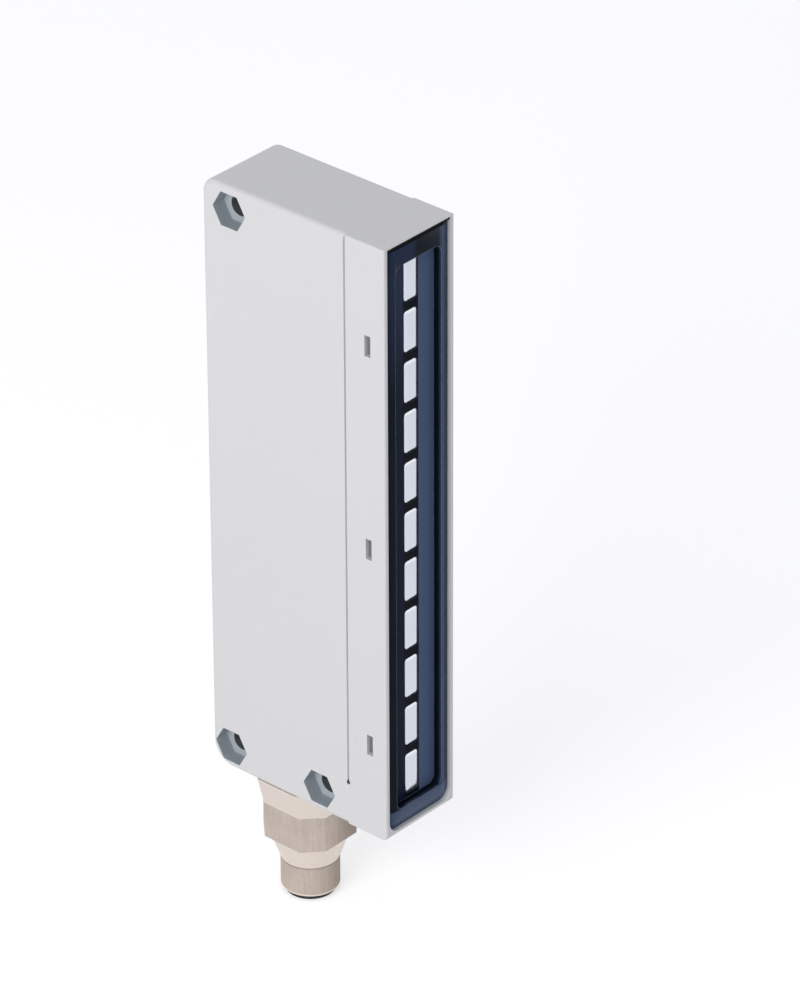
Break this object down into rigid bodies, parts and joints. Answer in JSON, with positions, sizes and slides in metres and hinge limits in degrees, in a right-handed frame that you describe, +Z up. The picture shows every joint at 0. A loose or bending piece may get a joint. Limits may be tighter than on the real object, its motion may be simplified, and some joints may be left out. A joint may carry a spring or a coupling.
{
  "type": "area sensor",
  "caption": "Slim upright area sensor: pale grey housing with a tinted front window over a column of lens cells, nut pockets at its screw holes and a round plug connector underneath.",
  "frame": {"origin": "centre of the upper mounting hole, half way through the housing", "axes": "+Z up along the housing, -Y out of the window, +X to the right seen from the window side"},
  "size_m": [0.02, 0.046, 0.159],
  "materials": {
    "housing": "light grey moulded plastic, satin",
    "window": "dark tinted glossy plastic",
    "rubber": "black rubber",
    "lens": "pale glossy lens plastic",
    "black_plastic": "black moulded plastic",
    "nickel": "nickel-plated brass, satin",
    "gold": "gold-plated contacts",
    "board": "green circuit board",
    "chip": "black chip resin",
    "tin": "tinned sheet steel",
    "diode": "dark clear diode resin",
    "screw_steel": "zinc-plated steel",
    "can": "aluminium can",
    "ceramic": "chip ceramic",
    "lead": "insulated lead",
    "terminal": "terminal block plastic"
  },
  "bodies": {
    "root": {"housing": "housing", "front_bezel": "window", "window_gasket": "rubber", "lens_strip": "lens", "lens_holder": "black_plastic", "optics_board": "board", "holder_screws": "screw_steel", "optical_diodes": "diode", "amplifier_chip": "chip", "shield_can": "tin", "board_header": "black_plastic", "main_board": "board", "processor_chip": "chip", "clock_crystal": "tin", "driver_chips": "chip", "voltage_regulator": "chip", "power_inductor": "chip", "storage_capacitors": "can", "ceramic_capacitors": "ceramic", "connector_body": "nickel", "contact_insert": "black_plastic", "contact_pins": "gold", "connector_leads": "lead", "lead_terminals": "terminal", "connector_seal": "rubber", "insert_seal": "rubber", "connector_nut": "nickel"}
  },
  "joints": []
}
